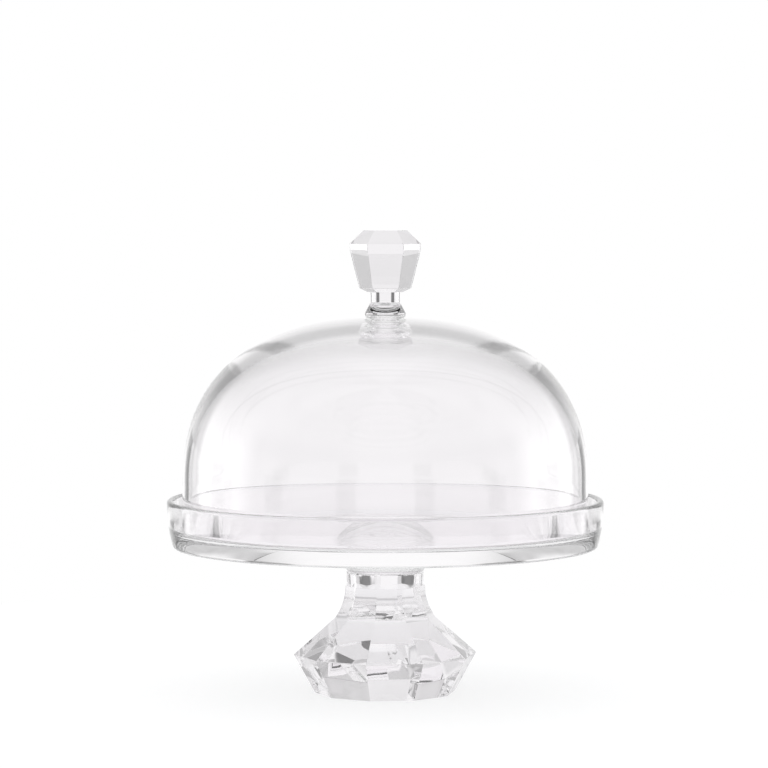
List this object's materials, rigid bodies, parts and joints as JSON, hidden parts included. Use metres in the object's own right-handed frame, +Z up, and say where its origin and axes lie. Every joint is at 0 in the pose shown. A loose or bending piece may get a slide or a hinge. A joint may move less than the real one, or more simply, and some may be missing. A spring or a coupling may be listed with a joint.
{
  "type": "footed cake dome",
  "caption": "Round rimmed cake plate on a faceted pedestal foot, with a loose tall glass dome that lifts off by a faceted knob.",
  "frame": {"origin": "middle of the flat base of the foot, on the surface it stands on", "axes": "+Z up along the axis of the foot, plate and dome; -Y towards the front, +X to the right"},
  "size_m": [0.3, 0.3, 0.3177],
  "materials": {
    "cut_crystal": "cut and polished",
    "pressed_glass": "pressed and fire polished",
    "blown_glass": "mould blown, rim ground and polished",
    "clear_adhesive": "clear light-cured film"
  },
  "bodies": {
    "stand": {"foot": "cut_crystal", "foot_bond": "clear_adhesive", "cake_plate": "pressed_glass"},
    "cover": {"dome": "blown_glass", "knob_bond": "clear_adhesive", "knob": "cut_crystal"}
  },
  "joints": [
    {"name": "dome_lift", "type": "slide", "parent": "stand", "child": "cover", "axis": [0, 0, 1], "range_m": [0, 0.25]}
  ]
}
